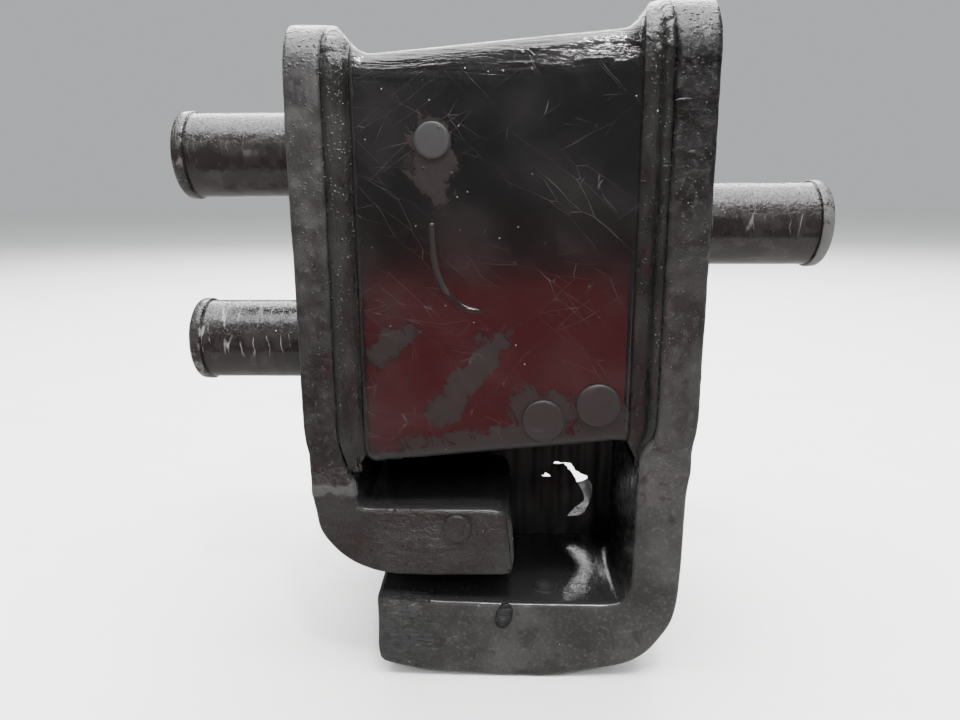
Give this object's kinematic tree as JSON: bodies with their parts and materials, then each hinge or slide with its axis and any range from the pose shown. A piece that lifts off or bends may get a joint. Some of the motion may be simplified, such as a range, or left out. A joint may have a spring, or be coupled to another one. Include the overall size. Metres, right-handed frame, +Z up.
{
  "type": "engine mount",
  "caption": "Bonded-rubber engine mount: L-shaped steel side plates with overlapping rubber-covered safety hooks, and threaded studs under push-on protector caps.",
  "frame": {"origin": "middle of the overall footprint at the underside of the frame-side hook, which the mount stands on", "axes": "+Z up the plates, +X out along the frame-side stud, -X out along the engine-side studs, -Y the face with the moulding nubs"},
  "size_m": [0.1282, 0.0604, 0.1218],
  "materials": {
    "painted_steel": "thick black gloss paint over pitted steel",
    "gloss_rubber": "moulded rubber under glossy black paint, scuffed",
    "matt_rubber": "satin dark grey rubber with paint specks",
    "stud_steel": "plain machined thread",
    "painted_plastic": "flexible plastic under cracked gloss paint"
  },
  "bodies": {
    "frame_side": {"frame_plate": "painted_steel", "frame_bond": "gloss_rubber", "frame_hook_cover": "matt_rubber", "stud_frame": "stud_steel", "flash_web": "gloss_rubber"},
    "engine_side": {"engine_plate": "painted_steel", "engine_bond": "gloss_rubber", "engine_hook_cover": "matt_rubber", "stud_engine_upper": "stud_steel", "stud_engine_lower": "stud_steel", "cushion": "gloss_rubber"},
    "cap_eu": {"cap_engine_upper": "painted_plastic"},
    "cap_el": {"cap_engine_lower": "painted_plastic"},
    "cap_fr": {"cap_frame": "painted_plastic"}
  },
  "joints": [
    {"name": "rubber_shear", "type": "slide", "parent": "frame_side", "child": "engine_side", "axis": [0, 0, 1], "range_m": [-0.004, 0.0045], "stiffness_N_per_m": 70000, "deforming": ["cushion", "flash_web"]},
    {"name": "cap_engine_upper_pull", "type": "slide", "parent": "engine_side", "child": "cap_eu", "axis": [-1, 0, 0], "range_m": [0, 0.03]},
    {"name": "cap_engine_lower_pull", "type": "slide", "parent": "engine_side", "child": "cap_el", "axis": [-1, 0, 0], "range_m": [0, 0.03]},
    {"name": "cap_frame_pull", "type": "slide", "parent": "frame_side", "child": "cap_fr", "axis": [1, 0, 0], "range_m": [0, 0.032]}
  ]
}
